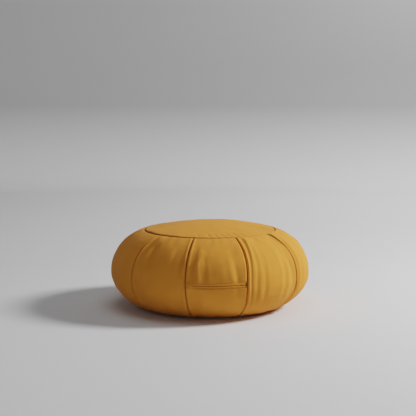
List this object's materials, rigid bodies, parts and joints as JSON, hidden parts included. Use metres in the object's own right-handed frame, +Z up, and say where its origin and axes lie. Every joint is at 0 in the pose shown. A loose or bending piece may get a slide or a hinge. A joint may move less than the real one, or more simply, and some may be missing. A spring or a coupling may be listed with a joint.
{
  "type": "zafu meditation cushion",
  "caption": "Round filled floor cushion for sitting meditation, with crowned top disc, gored sides, rolled seams, soft folds and a closed zip across the front panel.",
  "frame": {"origin": "middle of the flat base disc, on the surface that the cushion stands on", "axes": "+Z up; the zip panel faces -Y, +X to the right of someone looking at the zip"},
  "size_m": [0.3597, 0.3616, 0.1522],
  "materials": {
    "cotton": "matte mustard cotton, plain weave",
    "zip_tape": "woven tape",
    "zip_teeth": "dull grey metal"
  },
  "bodies": {
    "root": {"top_panel": "cotton", "bottom_panel": "cotton", "zip_panel_upper": "cotton", "zip_panel_lower": "cotton", "side_panel_1": "cotton", "side_panel_2": "cotton", "side_panel_3": "cotton", "side_panel_4": "cotton", "side_panel_5": "cotton", "side_panel_6": "cotton", "side_panel_7": "cotton", "side_panel_8": "cotton", "side_panel_9": "cotton", "zip_tape": "zip_tape", "zip_teeth": "zip_teeth"}
  },
  "joints": []
}
